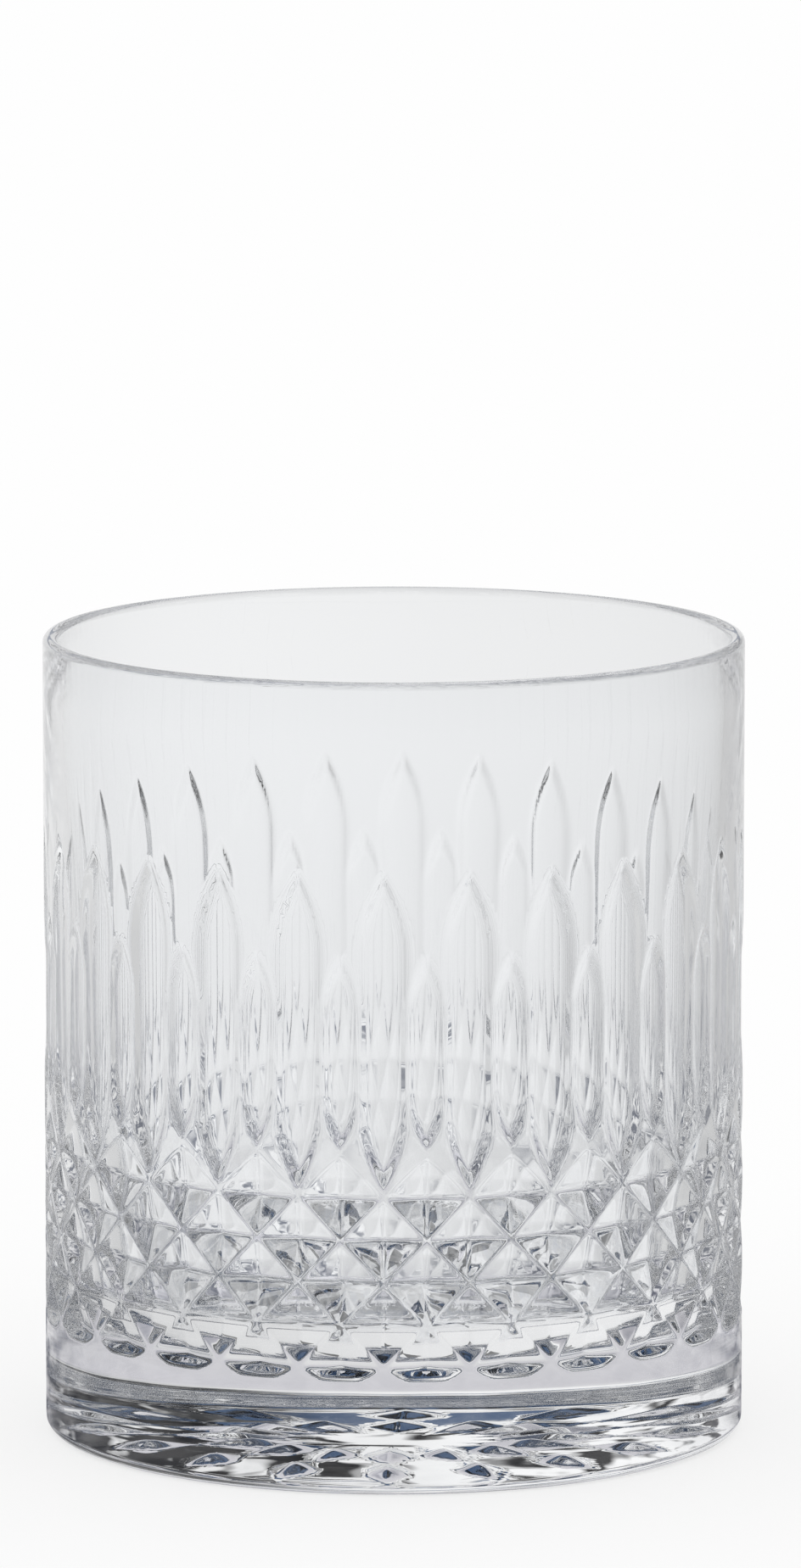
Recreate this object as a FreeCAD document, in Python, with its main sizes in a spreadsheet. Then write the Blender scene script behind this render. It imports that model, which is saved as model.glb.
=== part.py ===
import FreeCAD, Part
import math
import os
import Sketcher

# A whiskey tumbler in one piece of clear glass, in millimetres, +Z up.  The origin is the
# middle of the foot.  The blank is a straight cup with a thick bottom and an inner wall that
# tapers.  Twenty-six tall petals stand round it, with a short one between each pair.  Below
# them lies a band of diamond-shaped hollows that meet in sharp ridges, and a star of sixteen
# rays is cut under the foot.  Tall petals are centred on the Y axis and short ones on the X
# axis, and rays of the star lie along both.

doc = FreeCAD.newDocument("WhiskeyTumbler")


def make_sizes():
    """The driving dimensions of the glass, one row each: name, value, what it is."""
    rows = [
        ("rim_height", 94.0, "foot to top of rim"),
        ("outer_radius", 41.0, "outside of the wall"),
        ("mouth_radius", 39.2, "inside of the wall at the rim"),
        ("floor_radius", 36.0, "inside of the wall at the floor"),
        ("floor_height", 15.0, "foot to the inside floor"),
        ("floor_bevel", 4.0, "bevel between floor and wall"),
        ("rim_bevel", 0.5, "bevel on both edges of the rim"),
        ("foot_bevel", 1.4, "bevel under the outer wall"),
        ("ring_radius", 34.0, "inner edge of the ring that the glass stands on"),
        ("recess_radius", 32.0, "flat middle of the recess under the foot"),
        ("recess_height", 1.0, "depth of the recess under the foot"),
        ("petal_count", 26, "tall petals round the glass, and as many short ones"),
        ("petal_curve", 6.0, "radius of the hollow across a petal"),
        ("petal_margin", 0.1, "how far the petal tool starts outside the wall"),
        ("tip_slope", 4.0, "slope of a petal towards each of its tips, in degrees"),
        ("tall_depth", 0.8, "depth of a tall petal at its middle"),
        ("tall_top", 72.6, "upper tip of a tall petal"),
        ("tall_bottom", 35.8, "lower tip of a tall petal"),
        ("short_depth", 0.65, "depth of a short petal at its middle"),
        ("short_top", 62.8, "upper tip of a short petal"),
        ("short_bottom", 40.6, "lower tip of a short petal"),
        ("band_bottom", 14.7, "height of the lowest row of hollows"),
        ("row_pitch", 4.95, "height from one row of hollows to the next"),
        ("hollow_side", 5.08, "middle of a hollow to its side corner, just over a row's pitch"),
        ("hollow_rise", 5.3, "middle of a hollow to its upper or lower corner"),
        ("hollow_depth", 1.0, "depth of a hollow at its middle"),
        ("hollow_reach", 0.6, "how far the hollow's tool stands out of the wall"),
        ("last_drop", 1.0, "how far the lowest hollows reach below their middle"),
        ("last_half", 3.1, "half the width of the flat lower edge of those hollows"),
        ("ray_count", 16, "rays of the star under the foot"),
        ("ray_start", 7.0, "inner end of a ray"),
        ("ray_end", 29.0, "outer end of a ray"),
        ("ray_half", 2.4, "half the width of a ray at its middle"),
        ("ray_depth", 0.8, "depth of a ray at its middle"),
        ("ray_reach", 0.1, "how far the ray's tool starts below the recess"),
    ]
    sheet = doc.addObject("Spreadsheet::Sheet", "Sizes")
    for number, (name, value, note) in enumerate(rows, start=1):
        sheet.set(f"A{number}", name)
        sheet.set(f"B{number}", str(value))
        sheet.set(f"C{number}", note)
        sheet.setAlias(f"B{number}", name)
    doc.recompute()
    return sheet


sizes = make_sizes()


def origin_item(body, role):
    """One of the body's own origin planes or axes."""
    for item in body.Origin.OriginFeatures:
        if item.Role == role:
            return item
    raise RuntimeError("no origin feature " + role)


def sketch_on(body, name, role, height="0"):
    """An empty sketch on an origin plane, moved along the plane's normal by an expression."""
    sketch = body.newObject("Sketcher::SketchObject", name)
    sketch.AttachmentSupport = [(origin_item(body, role), "")]
    sketch.MapMode = "FlatFace"
    sketch.setExpression("AttachmentOffset.Base.z", height)
    return sketch


def hold(sketch, kind, *where, size):
    """A dimension on the sketch, bound to the sheet by an expression."""
    index = sketch.addConstraint(Sketcher.Constraint(kind, *where, worth(size)))
    sketch.setExpression(f"Constraints[{index}]", size)


def place_point(sketch, edge, end, across, up):
    """Both distances of a point from the sketch's origin, given as expressions."""
    hold(sketch, "DistanceX", -1, 1, edge, end, size=across)
    hold(sketch, "DistanceY", -1, 1, edge, end, size=up)


def polygon(sketch, corners):
    """A closed outline whose corners are pairs of expressions."""
    for first, second in zip(corners, corners[1:] + corners[:1]):
        start = FreeCAD.Vector(*[worth(text) for text in first], 0)
        end = FreeCAD.Vector(*[worth(text) for text in second], 0)
        sketch.addGeometry(Part.LineSegment(start, end))
    for edge in range(len(corners)):
        sketch.addConstraint(Sketcher.Constraint("Coincident", edge, 2, (edge + 1) % len(corners), 1))
    for edge, (across, up) in enumerate(corners):
        place_point(sketch, edge, 1, across, up)


def worth(text):
    """The present value of an expression on the sheet."""
    value = sizes.evalExpression(text)
    return float(getattr(value, "Value", value))


def make_blank(body):
    """The cup before it is cut: half its section, turned round the Z axis."""
    outline = sketch_on(body, "BlankSection", "XZ_Plane")
    r_out, r_mouth, r_floor = "Sizes.outer_radius", "Sizes.mouth_radius", "Sizes.floor_radius"
    top, floor = "Sizes.rim_height", "Sizes.floor_height"
    polygon(outline, [
        ("Sizes.ring_radius", "0"),
        (r_out, "0"),
        (r_out, top),
        (r_mouth, top),
        (r_floor, floor),
        ("0", floor),
        ("0", "Sizes.recess_height"),
        ("Sizes.recess_radius", "Sizes.recess_height"),
    ])
    blank = body.newObject("PartDesign::Revolution", "Blank")
    blank.Profile = outline
    blank.ReferenceAxis = (origin_item(body, "Z_Axis"), [""])
    blank.Angle = 360
    doc.recompute()
    return blank


def bevel_circle_edges(body, name, size, places):
    """A bevel on every full circle of the body at one of the given (radius, height) places."""
    base = body.Tip
    edges = []
    for number, edge in enumerate(base.Shape.Edges, start=1):
        if edge.Degenerated or not edge.Closed or not isinstance(edge.Curve, Part.Circle):
            continue
        here = (edge.Curve.Radius, edge.Curve.Center.z)
        if any(abs(here[0] - r) < 0.01 and abs(here[1] - z) < 0.01 for r, z in places):
            edges.append(f"Edge{number}")
    if len(edges) != len(places):
        raise RuntimeError(f"{name}: found {edges} for {places}")
    bevel = body.newObject("PartDesign::Chamfer", name)
    bevel.Base = (base, edges)
    bevel.setExpression("Size", size)
    doc.recompute()
    return bevel


# A petal's tool starts a little outside the wall, and this far beyond the tip that it leaves.
LEAD = "Sizes.petal_margin / tan(Sizes.tip_slope)"


def petal_path(body, name, role, depth, bottom, top):
    """The line that the deepest point of a petal follows: in, straight up, and out again."""
    outer = "(Sizes.outer_radius + Sizes.petal_margin)"
    inner = f"(Sizes.outer_radius - {depth})"
    slant = f"{depth} / tan(Sizes.tip_slope)"
    stops = [
        (outer, f"{bottom} - {LEAD}"),
        (inner, f"{bottom} + {slant}"),
        (inner, f"{top} - {slant}"),
        (outer, f"{top} + {LEAD}"),
    ]
    path = sketch_on(body, name, role)
    corners = [FreeCAD.Vector(worth(across), worth(up), 0) for across, up in stops]
    for edge, (start, end) in enumerate(zip(corners, corners[1:])):
        path.addGeometry(Part.LineSegment(start, end))
        place_point(path, edge, 1, *stops[edge])
        if edge > 0:
            path.addConstraint(Sketcher.Constraint("Coincident", edge - 1, 2, edge, 1))
    place_point(path, edge, 2, *stops[-1])
    doc.recompute()
    return path


def petal_section(body, name, turned, depth, bottom):
    """The hollow across a petal, square to the start of its path: two arcs and their chord."""
    section = sketch_on(body, name, "XY_Plane", f"{bottom} - {LEAD}")
    lean = FreeCAD.Vector(1, 0, 0) if turned else FreeCAD.Vector(0, -1, 0)
    section.AttachmentOffset = FreeCAD.Placement(FreeCAD.Vector(), FreeCAD.Rotation(lean, 1))
    section.setExpression("AttachmentOffset.Rotation.Angle", "Sizes.tip_slope")
    section.setExpression("AttachmentOffset.Base." + ("y" if turned else "x"),
                          "Sizes.outer_radius + Sizes.petal_margin")

    # Outwards is the sketch's Y for a tall petal and its X for a short one.
    outwards = 90 if turned else 0
    reach = f"{depth} + 4 * Sizes.petal_margin"
    curve = worth("Sizes.petal_curve")
    swing = worth(f"acos(1 - ({reach}) / Sizes.petal_curve)")
    middle = FreeCAD.Rotation(FreeCAD.Vector(0, 0, 1), outwards).multVec(FreeCAD.Vector(curve, 0, 0))
    circle = Part.Circle(middle, FreeCAD.Vector(0, 0, 1), curve)
    deepest = outwards + 180
    halves = [
        Part.ArcOfCircle(circle, math.radians(deepest - swing), math.radians(deepest)),
        Part.ArcOfCircle(circle, math.radians(deepest), math.radians(deepest + swing)),
    ]
    for half in halves:
        section.addGeometry(half)
    section.addGeometry(Part.LineSegment(halves[1].EndPoint, halves[0].StartPoint))
    section.addConstraint(Sketcher.Constraint("Coincident", 0, 3, 1, 3))
    section.addConstraint(Sketcher.Constraint("Coincident", 0, 2, 1, 1))
    section.addConstraint(Sketcher.Constraint("Coincident", 1, 2, 2, 1))
    section.addConstraint(Sketcher.Constraint("Coincident", 2, 2, 0, 1))
    section.addConstraint(Sketcher.Constraint("Coincident", 0, 2, -1, 1))
    section.addConstraint(Sketcher.Constraint("PointOnObject", 0, 3, -2 if turned else -1))
    section.addConstraint(Sketcher.Constraint("Horizontal" if turned else "Vertical", 2))
    hold(section, "Radius", 0, size="Sizes.petal_curve")
    hold(section, "DistanceY" if turned else "DistanceX", -1, 1, 2, 1, size=reach)
    doc.recompute()
    return section


def cut_petals(body, name, role, turned, depth, bottom, top):
    """One petal swept along its path with mitred bends, then the same all the way round."""
    path = petal_path(body, name + "Path", role, depth, bottom, top)
    section = petal_section(body, name + "Section", turned, depth, bottom)
    petal = body.newObject("PartDesign::SubtractivePipe", name + "Petal")
    petal.Profile = section
    petal.Spine = (path, ["Edge1", "Edge2", "Edge3"])
    petal.Mode = "Standard"
    petal.Transition = "Right corner"
    doc.recompute()
    return ring_of(body, petal, name + "Petals")


def ring_of(body, feature, name, count="Sizes.petal_count"):
    """A feature repeated round the Z axis, once for each tall petal where no count is given."""
    ring = body.newObject("PartDesign::PolarPattern", name)
    ring.Originals = [feature]
    ring.Axis = (origin_item(body, "Z_Axis"), [""])
    ring.Angle = 360
    ring.setExpression("Occurrences", count)
    body.Tip = ring
    doc.recompute()
    return ring


def cut_hollows(body, row):
    """A row of diamond hollows: flat sides that run from a four-cornered mouth to one point."""
    name = f"Row{row}"
    level = f"(Sizes.band_bottom + {row} * Sizes.row_pitch)"
    # Rows take turns: an even row sits under the short petals, an odd one under the tall.
    role = "YZ_Plane" if row % 2 == 0 else "XZ_Plane"
    # The mouth of the tool lies outside the wall, so it is wider than the hollow it leaves.
    spread = "(Sizes.hollow_depth + Sizes.hollow_reach)"
    steep = f"{spread} / Sizes.hollow_depth"
    around = "(Sizes.hollow_side / Sizes.outer_radius * 180 / pi)"
    width = (f"(Sizes.outer_radius * sin({around}) * {spread}"
             f" / (Sizes.hollow_depth - Sizes.outer_radius * (1 - cos({around}))))")
    height = f"(Sizes.hollow_rise * {steep})"
    mouth = sketch_on(body, name + "Mouth", role, "Sizes.outer_radius + Sizes.hollow_reach")
    corners = [("-" + width, level), ("0", f"{level} + {height}"), (width, level)]
    if row > 0:
        corners.append(("0", f"{level} - {height}"))
    else:
        drop = f"(Sizes.last_drop * {steep})"
        half = f"(Sizes.last_half * {steep})"
        corners.append((half, f"{level} - {drop}"))
        corners.append(("-" + half, f"{level} - {drop}"))
    polygon(mouth, corners)
    depth = sketch_on(body, name + "Depth", role, "Sizes.outer_radius - Sizes.hollow_depth")
    depth.addGeometry(Part.Point(FreeCAD.Vector(0, worth(level), 0)))
    place_point(depth, 0, 1, "0", level)
    doc.recompute()
    hollow = body.newObject("PartDesign::SubtractiveLoft", name + "Hollow")
    hollow.Profile = mouth
    hollow.Sections = [(depth, ["Vertex1"])]
    hollow.Ruled = True
    doc.recompute()
    return ring_of(body, hollow, name + "Hollows")


def cut_star(body):
    """The star under the foot: long cuts whose four flat sides sink to one point."""
    spread = "((Sizes.ray_depth + Sizes.ray_reach) / Sizes.ray_depth)"
    middle = "((Sizes.ray_start + Sizes.ray_end) / 2)"
    half_length = f"((Sizes.ray_end - Sizes.ray_start) / 2 * {spread})"
    half_width = f"(Sizes.ray_half * {spread})"
    mouth = sketch_on(body, "RayMouth", "XY_Plane", "Sizes.recess_height - Sizes.ray_reach")
    polygon(mouth, [
        ("0", f"-{middle} - {half_length}"),
        (half_width, "-" + middle),
        ("0", f"{half_length} - {middle}"),
        ("-" + half_width, "-" + middle),
    ])
    deepest = sketch_on(body, "RayDepth", "XY_Plane", "Sizes.recess_height + Sizes.ray_depth")
    deepest.addGeometry(Part.Point(FreeCAD.Vector(0, -worth(middle), 0)))
    place_point(deepest, 0, 1, "0", "-" + middle)
    doc.recompute()
    ray = body.newObject("PartDesign::SubtractiveLoft", "Ray")
    ray.Profile = mouth
    ray.Sections = [(deepest, ["Vertex1"])]
    ray.Ruled = True
    doc.recompute()
    return ring_of(body, ray, "Star", "Sizes.ray_count")


def make_tumbler():
    """The whole glass, from the plain cup to the last cut under its foot."""
    body = doc.addObject("PartDesign::Body", "glass_tumbler")
    body.Label = "glass_tumbler"
    make_blank(body)
    outer, mouth = worth("Sizes.outer_radius"), worth("Sizes.mouth_radius")
    rim = worth("Sizes.rim_height")
    bevel_circle_edges(body, "RimBevel", "Sizes.rim_bevel", [(outer, rim), (mouth, rim)])
    bevel_circle_edges(body, "FootBevel", "Sizes.foot_bevel", [(outer, 0)])
    inside = (worth("Sizes.floor_radius"), worth("Sizes.floor_height"))
    bevel_circle_edges(body, "FloorBevel", "Sizes.floor_bevel", [inside])
    cut_petals(body, "Tall", "YZ_Plane", True, "Sizes.tall_depth", "Sizes.tall_bottom", "Sizes.tall_top")
    cut_petals(body, "Short", "XZ_Plane", False, "Sizes.short_depth", "Sizes.short_bottom", "Sizes.short_top")
    for row in range(5):
        cut_hollows(body, row)
    cut_star(body)
    body.Placement = FreeCAD.Placement()
    return body


def check_and_write(pieces):
    """Every object must be sound, and every piece one valid solid, before a file is written."""
    doc.recompute()
    for item in doc.Objects:
        if "Invalid" in item.State or "Error" in item.State:
            raise RuntimeError(f"{item.Label} failed: {item.State}")
    os.makedirs("parts", exist_ok=True)
    for piece in pieces:
        shape = piece.Shape
        if shape.isNull() or not shape.isValid() or len(shape.Solids) != 1:
            raise RuntimeError(f"{piece.Label} is not one sound solid")
        shape.exportStep(f"parts/{piece.Label}.step")
        print(f"{piece.Label}: {shape.Volume / 1000:.1f} cm3, {len(shape.Faces)} faces")


tumbler = make_tumbler()
check_and_write([tumbler])
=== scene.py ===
import math

import bpy
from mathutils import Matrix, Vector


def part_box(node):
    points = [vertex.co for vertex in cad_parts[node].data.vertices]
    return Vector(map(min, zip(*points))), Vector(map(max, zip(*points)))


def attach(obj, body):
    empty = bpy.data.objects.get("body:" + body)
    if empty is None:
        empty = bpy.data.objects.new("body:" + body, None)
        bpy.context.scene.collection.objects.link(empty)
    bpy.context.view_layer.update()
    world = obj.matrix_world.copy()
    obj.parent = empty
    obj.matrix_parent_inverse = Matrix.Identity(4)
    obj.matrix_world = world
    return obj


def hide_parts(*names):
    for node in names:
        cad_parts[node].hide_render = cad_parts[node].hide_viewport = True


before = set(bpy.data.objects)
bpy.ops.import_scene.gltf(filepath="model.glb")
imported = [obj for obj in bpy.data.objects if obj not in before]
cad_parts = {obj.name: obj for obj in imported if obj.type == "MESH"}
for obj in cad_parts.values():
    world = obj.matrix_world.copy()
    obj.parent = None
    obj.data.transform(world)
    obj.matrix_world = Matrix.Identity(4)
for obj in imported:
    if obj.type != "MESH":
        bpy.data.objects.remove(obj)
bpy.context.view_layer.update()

# ---------------------------------------------------------------------------------------
# The blank of the glass.
# One thick-bottomed cup of clear soda glass, pressed in a mould and fire-polished at the
# rim.  It is made as a single wedge, one petal wide, that the cutter sets round the axis.

MM = 0.001
low_corner, high_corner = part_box("glass_tumbler")
outer_radius = high_corner[0] / MM
rim_height = high_corner[2] / MM
petals_round = 26
pitch_angle = 2 * math.pi / petals_round
half_pitch = math.pi * outer_radius / petals_round      # along the wall, to the next short petal

rim_wall = 1.8
mouth_radius = outer_radius - rim_wall
floor_radius = 36.0
floor_height = 15.0
floor_corner = 6.0
lip_radius = 0.9
foot_rounding = 1.5
ring_radius = 36.0
dome_height = 0.8
row_pitch = 4.95
band_bottom = 14.9

# How finely each part of the outline is divided, and the heights where that changes.
above_band, petals_middle, above_petals = 41.5, 54.0, 73.2
steps_per_row = 12
rows_below_band = 5
foot_steps, low_petal_steps, high_petal_steps, rim_steps = 5, 10, 34, 3
lip_steps, inner_wall_steps, corner_steps = 12, 12, 10
foot_edge_steps, recess_steps = 5, 26
floor_rings = (22, 14, 7)
smallest_recess_ring = 2.0
wall_columns, inside_columns, foot_columns = 24, 6, 16


def stairs(start, end, steps):
    """Evenly spaced values after start, up to and including end."""
    return [start + (end - start) * (step + 1) / steps for step in range(steps)]


def wall_levels():
    """Heights of the rings on the outer wall, close together where it is cut."""
    step = row_pitch / steps_per_row
    band_low = band_bottom - rows_below_band * step
    band_rows = round((above_band - band_low) / step)
    levels = [foot_rounding] + stairs(foot_rounding, band_low, foot_steps)
    levels += [band_low + step * (row + 1) for row in range(band_rows)]
    levels += stairs(levels[-1], petals_middle, low_petal_steps)
    levels += stairs(petals_middle, above_petals, high_petal_steps)
    levels += stairs(above_petals, rim_height - lip_radius, rim_steps)
    return levels


def arc(radius, height, size, start, end, steps):
    """Points (radius, height) on a rounding about a centre, angles in degrees."""
    turns = [math.radians(start)] + stairs(math.radians(start), math.radians(end), steps)
    return [(radius + size * math.cos(turn), height + size * math.sin(turn)) for turn in turns]


def inside_profile():
    """From the top of the outer wall over the lip, down the inner wall and to the axis."""
    lean = math.atan2(mouth_radius - floor_radius, rim_height - floor_height)
    lip_top = rim_height - lip_radius
    lip = arc(outer_radius - lip_radius, lip_top, lip_radius, 0, 180, lip_steps)[1:]
    corner_height = floor_height + floor_corner
    corner_radius = floor_radius + floor_corner * (math.tan(lean) - 1 / math.cos(lean))
    corner = arc(corner_radius, corner_height, floor_corner, -math.degrees(lean), -90,
                 corner_steps)
    top, bottom = lip[-1], corner[0]
    wall = [(top[0] + (bottom[0] - top[0]) * t, top[1] + (bottom[1] - top[1]) * t)
            for t in stairs(0, 1, inner_wall_steps)[:-1]]
    disc = [(radius, floor_height) for radius in floor_rings]
    return lip + wall + corner + disc


def foot_profile():
    """From the bottom of the outer wall round the foot, and under it to the axis."""
    edge = arc(outer_radius - foot_rounding, foot_rounding, foot_rounding, 0, -90,
               foot_edge_steps)[1:]
    radii = [ring_radius] + stairs(ring_radius, smallest_recess_ring, recess_steps)
    return edge + [(radius, dome_height * (1 - (radius / ring_radius) ** 2)) for radius in radii]


def make_wedge():
    """The wedge of the blank: a wall of fine triangles, and coarser rings elsewhere."""
    points, faces = [], []

    def ring(radius, height, count):
        """A row of points across the wedge."""
        first = len(points)
        for place in range(count + 1):
            turn = pitch_angle * (place / count - 0.5)
            points.append((radius * math.sin(turn) * MM, -radius * math.cos(turn) * MM,
                           height * MM))
        return list(range(first, len(points)))

    def join(below, above):
        """Triangles between two rows, which may have unlike numbers of points."""
        low, high = 0, 0
        last_low, last_high = len(below) - 1, len(above) - 1
        while low < last_low or high < last_high:
            if (low + 0.5) * last_high <= (high + 0.5) * last_low and low < last_low:
                faces.append((below[low], below[low + 1], above[high]))
                low += 1
            else:
                faces.append((below[low], above[high + 1], above[high]))
                high += 1

    levels = wall_levels()
    wall = [ring(outer_radius, level, wall_columns) for level in levels]
    for below, above, low, high in zip(wall, wall[1:], levels, levels[1:]):
        upwards = ((low + high) / 2 - band_bottom) / row_pitch
        for place in range(wall_columns):
            # The diagonal of each cell follows the ridge between the hollows that is nearer.
            along = (place + 0.5) / (wall_columns / 2)
            falling = abs((along + upwards + 1) % 2 - 1)
            rising = abs((along - upwards + 1) % 2 - 1)
            cell = [below[place], below[place + 1], above[place + 1], above[place]]
            if falling > rising:
                cell = cell[1:] + cell[:1]
            faces.append((cell[0], cell[1], cell[2]))
            faces.append((cell[0], cell[2], cell[3]))

    def close(edge, profile, count, middle_height, upside_down):
        """Coarser rings from an edge of the wall to a point on the axis."""
        first_face = len(faces)
        for radius, height in profile:
            following = ring(radius, height, count)
            join(edge, following)
            edge = following
        points.append((0, 0, middle_height * MM))
        for first, second in zip(edge, edge[1:]):
            faces.append((first, second, len(points) - 1))
        if upside_down:
            faces[first_face:] = [face[::-1] for face in faces[first_face:]]

    close(wall[-1], inside_profile(), inside_columns, floor_height, False)
    close(wall[0], foot_profile(), foot_columns, dome_height, True)
    mesh = bpy.data.meshes.new("wedge")
    mesh.from_pydata(points, [], faces)
    mesh.polygons.foreach_set("use_smooth", [True] * len(mesh.polygons))
    wedge = bpy.data.objects.new("wedge", mesh)
    bpy.context.scene.collection.objects.link(wedge)
    return wedge


wedge = make_wedge()

# ---------------------------------------------------------------------------------------
# The petals, the band of hollows and the star.
# Tall and short petals stand side by side above five rows of diamond hollows, all pressed
# into the outside of the wall, and a star is cut under the foot.  Rules for their depth cut
# the wedge, and the cut wedge is set round the axis and welded into one closed glass.

petal_curve = 20.0
shoulder = 1.5
tall_depth, tall_half, tall_tip = 0.7, 3.35, 10.0
tall_bottom, tall_top = 35.4, 72.6
short_depth, short_half, short_tip = 0.6, 2.8, 7.0
short_bottom, short_top = 40.0, 62.8
tip_meeting, tip_rounding = 0.5, 0.1
edge_rounding, floor_rounding = 0.02, 0.1

rows_of_hollows = 5
hollow_half = 4.62
hollow_depth = 1.0
last_drop = 1.0
last_half = 3.1
crease_rounding = 0.12
ridge_rounding = 0.06

rays = 16
ray_depth = 0.8
ray_half = 2.4
ray_start = 7.0
ray_end = 29.0
lobes = 2
lobe_rounding, groove_rounding = 0.02, 0.05

well_outside = 9        # taken off a depth, it keeps a cut from reaching the glass
reach = 0.01            # how near a point lies to a surface to be on it
weld_distance = 2e-6

glass_tint = (0.985, 0.992, 1.0, 1)
glass_bend = 1.52
ripple_scale, ripple_detail, ripple_strength, ripple_height = 60.0, 1.0, 0.25, 0.00025
smear_scale, smear_detail, roughest = 140.0, 3.0, 0.02


class Field:
    """A value at each point of the wall.  Arithmetic on it adds Math nodes to the tree."""

    def __init__(self, tree, socket):
        self.tree, self.socket = tree, socket

    def math(self, operation, *others):
        node = self.tree.nodes.new("ShaderNodeMath")
        node.operation = operation
        for slot, value in zip(node.inputs, (self,) + others):
            if isinstance(value, Field):
                self.tree.links.new(value.socket, slot)
            else:
                slot.default_value = value
        return Field(self.tree, node.outputs[0])

    def __add__(self, other):
        return self.math("ADD", other)

    def __sub__(self, other):
        return self.math("SUBTRACT", other)

    def __mul__(self, other):
        return self.math("MULTIPLY", other)

    def __truediv__(self, other):
        return self.math("DIVIDE", other)

    def size(self):
        return self.math("ABSOLUTE")

    def lesser(self, other, rounding):
        return self.math("SMOOTH_MIN", other, rounding)

    def greater(self, other, rounding):
        return self.math("SMOOTH_MAX", other, rounding)

    def clipped(self):
        return self.math("MINIMUM", 1.0).math("MAXIMUM", 0.0)


def petal_depth(beside, height, name, sizes):
    """A long hollow with pointed ends: a rolled shoulder all round and a shallow curved floor."""
    below_top = sizes[name + " top"] - height
    above_bottom = height - sizes[name + " bottom"]
    towards_tip = below_top.lesser(above_bottom, tip_meeting) / sizes[name + " tip"]
    narrowing = towards_tip.lesser(1.0, tip_rounding) * -1 + 1
    inside = (narrowing * narrowing * -1 + 1) * sizes[name + " half"] - beside.size()
    sunk = (inside / sizes["Shoulder"]).greater(0.0, edge_rounding).lesser(1.0, floor_rounding)
    rolled = sunk * sunk * (sunk * -2 + 3)
    bend = sizes["Petal curve"].math("POWER", -1) + sizes["Outer radius"].math("POWER", -1)
    return rolled * (sizes[name + " depth"] - beside * beside * bend * 0.5)


def rounded_size(value, rounding):
    """The size of a value without the kink at nought, as the press leaves a crease."""
    return (value * value + rounding * rounding).math("SQRT") - rounding * 0.5


def hollow_depth_at(around, height, sizes):
    """A four-sided hollow in every second field of the lattice, five rows high."""
    lattice_u = around / sizes["Half pitch"]
    lattice_w = (height - sizes["Band bottom"]) / sizes["Row pitch"] + 1
    lean = (lattice_u + lattice_w).math("WRAP", 1, -1)
    tilt = (lattice_u - lattice_w).math("WRAP", 1, -1)
    beside = (lean + tilt) * 0.5 * sizes["Half pitch"]
    up = (lean - tilt) * 0.5
    row = lattice_w - up
    up = up * sizes["Row pitch"]

    depth, half = sizes["Hollow depth"], sizes["Hollow half"]
    bulge = beside * beside / (sizes["Outer radius"] * 2)
    side = rounded_size(beside, crease_rounding)
    rise = rounded_size(up, crease_rounding)
    slope_aside = (depth - half * half / (sizes["Outer radius"] * 2)) / half
    diamond = depth - side * slope_aside - rise * (depth / half)

    # The lowest row is cut off by a flat side that leans in steeply from below.
    drop = sizes["Last drop"]
    cut_side = depth - side * slope_aside - rise * ((depth - slope_aside * last_half) / drop)
    cut_below = depth - rise * (depth / drop)
    smile = cut_below.lesser(cut_side, crease_rounding)
    below = up.math("LESS_THAN", 0) * row.math("LESS_THAN", 1.5)
    whole = diamond + (smile - diamond) * below - bulge
    outside = row.math("LESS_THAN", 0.5) + row.math("GREATER_THAN", rows_of_hollows + 0.5)
    return whole - outside * well_outside


def star_cut(turn, radius, count):
    """The turn off the middle of a ray of the star, and a share that is under one in its cut."""
    off_line = (turn * count / (2 * math.pi)).math("WRAP", 0.5, -0.5) / count * (2 * math.pi)
    beside = rounded_size(off_line.math("SINE") * radius, crease_rounding)
    lobe = (ray_end - ray_start) / lobes
    along = (off_line.math("COSINE") * radius - ray_start) / lobe
    on_ray = along.math("GREATER_THAN", 0.0) * along.math("LESS_THAN", float(lobes))
    along = rounded_size(along.math("WRAP", 1.0, 0.0) - 0.5, lobe_rounding)
    return off_line, beside / ray_half + along * 2 - on_ray * well_outside + well_outside


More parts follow.
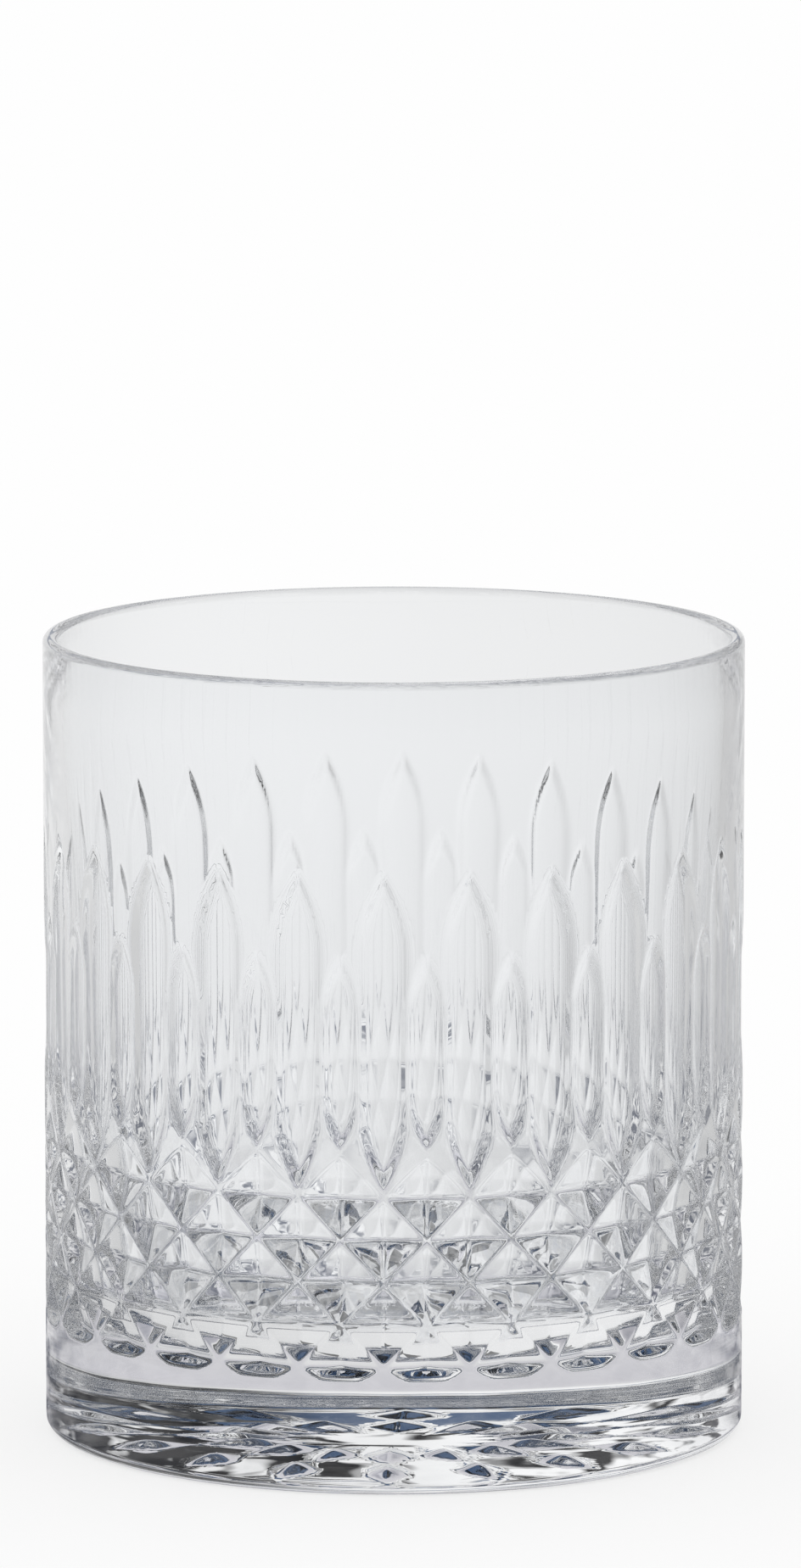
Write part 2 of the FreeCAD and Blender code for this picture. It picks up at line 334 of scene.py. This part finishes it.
def make_cutter(blank, material):
    """The tree of nodes that cuts the wedge and repeats it round the axis."""
    tree = bpy.data.node_groups.new("petals_and_hollows", "GeometryNodeTree")
    tree.interface.new_socket("Geometry", in_out="INPUT", socket_type="NodeSocketGeometry")
    driving = {
        "Petals round": petals_round, "Outer radius": outer_radius, "Half pitch": half_pitch,
        "Petal curve": petal_curve, "Shoulder": shoulder,
        "Tall depth": tall_depth, "Tall half": tall_half, "Tall tip": tall_tip,
        "Tall bottom": tall_bottom, "Tall top": tall_top,
        "Short depth": short_depth, "Short half": short_half, "Short tip": short_tip,
        "Short bottom": short_bottom, "Short top": short_top,
        "Band bottom": band_bottom, "Row pitch": row_pitch, "Hollow half": hollow_half,
        "Hollow depth": hollow_depth, "Last drop": last_drop,
        "Rays": rays, "Ray depth": ray_depth,
    }
    for name, value in driving.items():
        kind = "NodeSocketInt" if isinstance(value, int) else "NodeSocketFloat"
        tree.interface.new_socket(name, in_out="INPUT", socket_type=kind)
    tree.interface.new_socket("Material", in_out="INPUT", socket_type="NodeSocketMaterial")
    tree.interface.new_socket("Geometry", in_out="OUTPUT", socket_type="NodeSocketGeometry")

    def node(kind, **inputs):
        """A node with some inputs set or linked, named by their labels."""
        made = tree.nodes.new(kind)
        for label, value in inputs.items():
            slot = made.inputs[label.replace("_", " ")]
            if isinstance(value, bpy.types.NodeSocket):
                tree.links.new(value, slot)
            else:
                slot.default_value = value
        return made

    given = node("NodeGroupInput")
    sizes = {name: Field(tree, given.outputs[name]) for name in driving}

    place = node("GeometryNodeInputPosition")
    parts = node("ShaderNodeSeparateXYZ", Vector=place.outputs[0])
    across, ahead, height = (Field(tree, part) for part in parts.outputs)
    radius = (across * across + ahead * ahead).math("SQRT") / MM
    around = across.math("ARCTAN2", ahead * -1) * sizes["Outer radius"]
    height = height / MM

    tall = petal_depth(around, height, "Tall", sizes)
    short = petal_depth(sizes["Half pitch"] - around.size(), height, "Short", sizes)
    hollow = hollow_depth_at(around, height, sizes)
    depth = tall.greater(0.0, ridge_rounding).greater(short, ridge_rounding)
    depth = depth.greater(hollow, ridge_rounding)
    on_wall = radius.math("GREATER_THAN", sizes["Outer radius"] - reach)
    kept = (sizes["Outer radius"] - depth * on_wall) / sizes["Outer radius"]
    moved = node("ShaderNodeCombineXYZ", X=(across * kept).socket, Y=(ahead * kept).socket,
                 Z=parts.outputs[2])
    cut = node("GeometryNodeSetPosition", Geometry=given.outputs["Geometry"],
               Position=moved.outputs[0])

    spots = node("GeometryNodePoints", Count=given.outputs["Petals round"])
    number = Field(tree, node("GeometryNodeInputIndex").outputs[0])
    turn = number / sizes["Petals round"] * (2 * math.pi)
    spin = node("ShaderNodeCombineXYZ", Z=turn.socket)
    ring = node("GeometryNodeInstanceOnPoints", Points=spots.outputs[0],
                Instance=cut.outputs[0], Rotation=spin.outputs[0])
    real = node("GeometryNodeRealizeInstances", Geometry=ring.outputs[0])
    welded = node("GeometryNodeMergeByDistance", Geometry=real.outputs[0],
                  Distance=weld_distance)

    # Each ray of the star is a cut with flat sides, and each of its lobes sinks to one point.
    share = star_cut(across.math("ARCTAN2", ahead * -1), radius, sizes["Rays"])[1]
    groove = ((share * -1 + 1) * sizes["Ray depth"]).greater(0.0, groove_rounding)
    under = (height.math("LESS_THAN", dome_height + reach)
             * radius.math("LESS_THAN", ring_radius - reach))
    raised = node("ShaderNodeCombineXYZ", Z=(groove * under * MM).socket)
    starred = node("GeometryNodeSetPosition", Geometry=welded.outputs[0],
                   Offset=raised.outputs[0])
    clad = node("GeometryNodeSetMaterial", Geometry=starred.outputs[0],
                Material=given.outputs["Material"])
    tree.links.new(clad.outputs[0], node("NodeGroupOutput").inputs[0])

    cutter = blank.modifiers.new("petals_and_hollows", "NODES")
    cutter.node_group = tree
    values = dict(driving, Material=material)
    for socket in tree.interface.items_tree:
        if socket.in_out == "INPUT" and socket.name in values:
            cutter[socket.identifier] = values[socket.name]
    return cutter


def noise(tree, place, scale, detail):
    """Soft spots over a place that a socket gives."""
    spots = tree.nodes.new("ShaderNodeTexNoise")
    spots.inputs["Scale"].default_value = scale
    spots.inputs["Detail"].default_value = detail
    tree.links.new(place, spots.inputs["Vector"])
    return spots


def clear_glass():
    """Clear glass with the faint ripple and softness that pressing leaves."""
    material = bpy.data.materials.new("clear_glass")
    material.use_nodes = True
    tree = material.node_tree
    shader = tree.nodes["Principled BSDF"]
    shader.inputs["Base Color"].default_value = glass_tint
    shader.inputs["IOR"].default_value = glass_bend
    shader.inputs["Transmission Weight"].default_value = 1.0

    where = tree.nodes.new("ShaderNodeTexCoord").outputs["Object"]
    ripple = noise(tree, where, ripple_scale, ripple_detail)
    bump = tree.nodes.new("ShaderNodeBump")
    bump.inputs["Strength"].default_value = ripple_strength
    bump.inputs["Distance"].default_value = ripple_height
    tree.links.new(ripple.outputs["Fac"], bump.inputs["Height"])
    tree.links.new(bump.outputs["Normal"], shader.inputs["Normal"])

    smear = noise(tree, where, smear_scale, smear_detail)
    softness = tree.nodes.new("ShaderNodeMapRange")
    softness.inputs["To Min"].default_value = 0.0
    softness.inputs["To Max"].default_value = roughest
    tree.links.new(smear.outputs["Fac"], softness.inputs["Value"])
    tree.links.new(softness.outputs["Result"], shader.inputs["Roughness"])
    return material


cutter = make_cutter(wedge, clear_glass())
bpy.context.view_layer.update()
finished = bpy.data.meshes.new_from_object(
    wedge.evaluated_get(bpy.context.evaluated_depsgraph_get()))
finished.name = "tumbler_glass"
wedge.modifiers.remove(cutter)
bpy.data.objects.remove(wedge)

tumbler = bpy.data.objects.new("tumbler_glass", finished)
bpy.context.scene.collection.objects.link(tumbler)
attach(tumbler, "root")
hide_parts("glass_tumbler")

# ---------------------------------------------------------------------------------------
# The table.
# A plain white top that the glass stands on, which keeps the shadow of the glass.  Where it
# shows through or in the glass, light and shade are painted on it: bright behind the glass,
# greyer to both sides and near the foot.

table_half = 3.0
gap_under_foot = 0.00002
table_white = (0.97, 0.97, 0.97, 1)
glow_share = 0.72

# Levels of painted light and shade by the turn from the line straight behind the glass, in
# degrees: round the glass, and under it.
table_levels = [(-180, 0.70), (180, 0.70), (-120, 0.64), (-80, 0.66), (-55, 0.72),
                (-38, 0.80), (-22, 0.90), (-5, 0.90), (8, 0.84), (18, 0.74), (32, 0.60),
                (55, 0.60), (70, 0.66), (120, 0.74)]
painted_under_levels = [(-180, 0.82), (180, 0.82), (-90, 0.66), (0, 0.85), (90, 0.95)]

# Levels of painted light by the distance from the axis, in metres, darkest just beside the
# foot as a painted shadow.
near_reach = 0.4
painted_near_levels = [(0.0, 0.80), (near_reach, 1.0), (0.045, (0.69, 0.68, 0.72)), (0.09, 0.84),
               (0.22, 0.94)]

# Painted glints of light and shade that the glass throws to its sides, and painted light and
# shade of the facets of its star.
glint_scale, glint_detail = 70.0, 2.0
painted_glint_levels = [(0.42, (0.25, 0.27, 0.33)), (0.58, 1.3)]
glints_from, glints_over = 8.0, 12
glints_end, glints_fade = 0.21, 0.06
painted_facet_levels = [(-1.0, 1.0), (1.0, 0.2)]
untinted = (1, 1, 1, 1)


def mix_node(tree, kind, share, first, second):
    """A node that goes from the first colour or shader to the second."""
    mixed = tree.nodes.new(kind)
    for slot, value in zip(mixed.inputs, (share, first, second)):
        if isinstance(value, bpy.types.NodeSocket):
            tree.links.new(value, slot)
        else:
            slot.default_value = value
    return mixed


def blend(tree, share, first, second):
    """A colour on the way from the first to the second."""
    return mix_node(tree, "ShaderNodeMixRGB", share, first, second).outputs[0]


def times(tree, first, second):
    """One colour or level multiplied by another."""
    product = mix_node(tree, "ShaderNodeMixRGB", 1.0, first, second)
    product.blend_type = "MULTIPLY"
    return product.outputs[0]


def ramp(tree, source, low, high, stops):
    """Colours along a value that runs from low to high."""
    spread = tree.nodes.new("ShaderNodeMapRange")
    spread.inputs["From Min"].default_value = low
    spread.inputs["From Max"].default_value = high
    tree.links.new(source, spread.inputs["Value"])
    colours = tree.nodes.new("ShaderNodeValToRGB")
    marks = colours.color_ramp.elements
    for number, (value, colour) in enumerate(stops):
        place = (value - low) / (high - low)
        mark = marks[number] if number < 2 else marks.new(place)
        mark.position = place
        mark.color = colour + (1,) if isinstance(colour, tuple) else (colour, colour, colour, 1)
    tree.links.new(spread.outputs["Result"], colours.inputs["Fac"])
    return colours.outputs["Color"]


def seen_in_glass(tree):
    """One for rays that come through the glass or off it, and nought for all others."""
    path = tree.nodes.new("ShaderNodeLightPath")
    through = Field(tree, path.outputs["Is Transmission Ray"])
    return through.math("MAXIMUM", Field(tree, path.outputs["Is Glossy Ray"])).socket


def painted_light_on_table(tree):
    """Painted light and shade on the table, as the glass shows it."""
    place = tree.nodes.new("ShaderNodeTexCoord").outputs["Object"]
    parts = tree.nodes.new("ShaderNodeSeparateXYZ")
    tree.links.new(place, parts.inputs[0])
    across, ahead = Field(tree, parts.outputs[0]), Field(tree, parts.outputs[1])
    distance = (across * across + ahead * ahead).math("SQRT")
    turn = across.math("ARCTAN2", ahead)
    degrees = turn * (180 / math.pi)
    # Painted light round the glass, with a painted shadow near its foot.
    around = times(tree, ramp(tree, degrees.socket, -180, 180, table_levels),
                   ramp(tree, distance.socket, 0.0, near_reach, painted_near_levels))

    # Painted glints of light and shade, beside the glass and close to it.
    painted_glints = ramp(tree, noise(tree, place, glint_scale, glint_detail).outputs[0], 0, 1,
                  painted_glint_levels)
    aside = ((degrees.size() - glints_from) / glints_over).clipped()
    close_by = (distance / -glints_fade + glints_end / glints_fade).clipped()
    around = times(tree, around, blend(tree, (aside * close_by).socket, untinted, painted_glints))

    # Painted light and shade of the star's facets on the table: of the two facets of each cut,
    # the one turned to the light is painted lighter and the other darker.
    off_line, share = star_cut(turn, distance / MM, rays)
    facing = off_line.math("SIGN") * turn.math("COSINE")
    painted_facets = ramp(tree, facing.socket, -1, 1, painted_facet_levels)
    star = blend(tree, share.math("LESS_THAN", 1.0).socket, untinted, painted_facets)
    # Painted light and shade under the glass, by the turn round it, with the painted star on it.
    under = times(tree, ramp(tree, degrees.socket, -180, 180, painted_under_levels), star)
    beneath = distance.math("LESS_THAN", outer_radius * MM)
    return blend(tree, beneath.socket, around, under)


def table_paint():
    """White paint that keeps shadows, with painted light and shade where it shows in the glass.
    """
    material = bpy.data.materials.new("white_top")
    material.use_nodes = True
    tree = material.node_tree
    tree.nodes.clear()
    painted_light = tree.nodes.new("ShaderNodeEmission")
    tree.links.new(painted_light_on_table(tree), painted_light.inputs["Color"])
    paint = tree.nodes.new("ShaderNodeBsdfDiffuse")
    paint.inputs["Color"].default_value = table_white
    glow = tree.nodes.new("ShaderNodeEmission")
    glow.inputs["Strength"].default_value = 1.0

    def layered(share, first, second):
        return mix_node(tree, "ShaderNodeMixShader", share, first, second).outputs[0]

    to_camera = tree.nodes.new("ShaderNodeLightPath").outputs["Is Camera Ray"]
    plain = layered(to_camera, paint.outputs[0],
                    layered(glow_share, paint.outputs[0], glow.outputs[0]))
    out = tree.nodes.new("ShaderNodeOutputMaterial")
    # Rays through or off the glass see the painted light and shade instead of the plain white.
    tree.links.new(layered(seen_in_glass(tree), plain, painted_light.outputs[0]), out.inputs["Surface"])
    return material


def table_top():
    """A flat sheet just under the foot."""
    half, level = table_half, low_corner[2] - gap_under_foot
    mesh = bpy.data.meshes.new("table_top")
    corners = [(-half, -half, level), (half, -half, level), (half, half, level),
               (-half, half, level)]
    mesh.from_pydata(corners, [], [(0, 1, 2, 3)])
    mesh.materials.append(table_paint())
    top = bpy.data.objects.new("table_top", mesh)
    bpy.context.scene.collection.objects.link(top)


table_top()

# ---------------------------------------------------------------------------------------
# The studio.
# A room round the glass, bright to its left and dark to its right and in front, with folds
# of cloth and black and white panels, so that the edges of the cuts show against them.

black = (0.01, 0.012, 0.02)
dusk = (0.11, 0.155, 0.25)
night = (0.06, 0.10, 0.18)
ceiling_light = 0.4

# Levels by the turn from the line straight behind the glass, in degrees.
low_levels = [(-180, 0.30), (180, 0.30), (-130, 0.5), (-110, 1.0), (-8, 0.95), (6, 0.80),
              (12, 0.35), (20, 0.12), (60, 0.06), (115, 0.10), (130, 0.3)]
middle_levels = [(-180, 0.9), (180, 0.9), (-160, 0.05), (-130, 1.0), (-12, 1.0), (-5, 0.9),
                 (6, 0.9), (14, 0.85), (60, 0.85), (70, 0.1), (90, 0.3), (110, 0.05),
                 (135, 1.0), (160, 0.1)]
lit_share = [(-180, 0.5), (180, 0.5), (-130, 0.60), (-60, 0.58), (-14, 0.55), (-8, 0.57),
             (6, 0.57), (11, 0.43), (20, 0.35), (60, 0.37), (120, 0.5)]
high_levels = [(-180, 1.0), (180, 1.0), (-168, 1.0), (-166, black), (-150, black),
               (-148, 1.0), (-125, 1.0), (-123, black), (-100, black), (-98, 1.0), (-80, 1.0),
               (-78, night), (78, night), (80, 1.0), (95, 1.0), (97, black), (120, black),
               (122, 1.0), (145, 1.0), (147, black), (166, black), (168, 1.0)]

# Each zone fades in between two heights, on the way from the horizon at 0 to the top at 1.
low_edge, middle_edge, high_edge = (0.04, 0.07), (0.16, 0.175), (0.34, 0.39)
ceiling_edge = (0.78, 0.88)
skirting_levels = [(0.0, 1.0), (1.0, 1.0), (0.13, 1.0), (0.14, dusk), (0.16, dusk),
                   (0.17, 1.0)]

# Folds round the room, folds up to its top, and the level in the dimmest of them.
middle_folds = 30, 60, 0.02
high_folds = 110, 3, 0.04
fold_scale, fold_detail = 1.0, 2.0
fold_dark, fold_light = 0.44, 0.56
even_share = 0.5


def studio():
    """A world that lights the glass evenly, and that shows the room through and in it."""
    world = bpy.data.worlds.new("studio")
    bpy.context.scene.world = world
    world.use_nodes = True
    tree = world.node_tree
    tree.nodes.clear()
    where = tree.nodes.new("ShaderNodeTexCoord")
    parts = tree.nodes.new("ShaderNodeSeparateXYZ")
    tree.links.new(where.outputs["Generated"], parts.inputs[0])
    across, ahead, up = (Field(tree, part) for part in parts.outputs)
    turn = across.math("ARCTAN2", ahead) * (180 / math.pi)

    def round_about(levels):
        """Levels by the turn."""
        return ramp(tree, turn.socket, -180, 180, levels)

    def above(start, end):
        """Nought below one height and one above another."""
        return ramp(tree, up.socket, 0, 1, [(0.0, 0.0), (1.0, 1.0), (start, 0.0), (end, 1.0)])

    def folds(around, upwards, dimmest, share):
        """Folds of light and shade, of which about a given share is lit."""
        spot = tree.nodes.new("ShaderNodeCombineXYZ")
        tree.links.new((turn / 360 * around).socket, spot.inputs[0])
        tree.links.new((up * upwards).socket, spot.inputs[1])
        cloth = noise(tree, spot.outputs[0], fold_scale, fold_detail)
        cloth.noise_dimensions = "2D"
        lit = Field(tree, cloth.outputs[0]) + share - even_share
        return ramp(tree, lit.socket, 0, 1, [(fold_dark, dimmest), (fold_light, 1.0)])

    skirting = ramp(tree, up.socket, 0, 1, skirting_levels)
    low = times(tree, round_about(low_levels), skirting)
    middle = times(tree, round_about(middle_levels),
                   folds(*middle_folds, Field(tree, round_about(lit_share))))
    high = times(tree, round_about(high_levels), folds(*high_folds, even_share))
    ceiling = tuple(ceiling_light * part for part in dusk) + (1,)
    room = round_about(table_levels)
    for edge, zone in ((low_edge, low), (middle_edge, middle), (high_edge, high),
                       (ceiling_edge, ceiling)):
        room = blend(tree, above(*edge), room, zone)

    sky = tree.nodes.new("ShaderNodeBackground")
    tree.links.new(blend(tree, seen_in_glass(tree), untinted, room), sky.inputs["Color"])
    out = tree.nodes.new("ShaderNodeOutputWorld")
    tree.links.new(sky.outputs[0], out.inputs["Surface"])


studio()

# ---------------------------------------------------------------------------------------
# The camera.
# It stands a little over a metre in front of the glass, and looks slightly down on it
# through a long lens.

camera_place = (0.0361, -1.2486, 0.2702)
camera_tilt, camera_turn = 81.17, 1.62
lens_length, sensor_width = 248.0, 36.0
farthest_seen = 10


def camera():
    """A long lens on the glass."""
    lens = bpy.data.cameras.new("camera")
    lens.lens = lens_length
    lens.sensor_width = sensor_width
    lens.clip_end = farthest_seen
    holder = bpy.data.objects.new("camera", lens)
    holder.location = camera_place
    holder.rotation_euler = (math.radians(camera_tilt), 0, math.radians(camera_turn))
    bpy.context.scene.collection.objects.link(holder)
    bpy.context.scene.camera = holder


camera()
bpy.context.scene.view_settings.view_transform = "Standard"

# Light that runs along inside the wall turns many times before it leaves the glass.
most_turns = 32
light_paths = bpy.context.scene.cycles
light_paths.max_bounces = most_turns
light_paths.glossy_bounces = most_turns
light_paths.transmission_bounces = most_turns
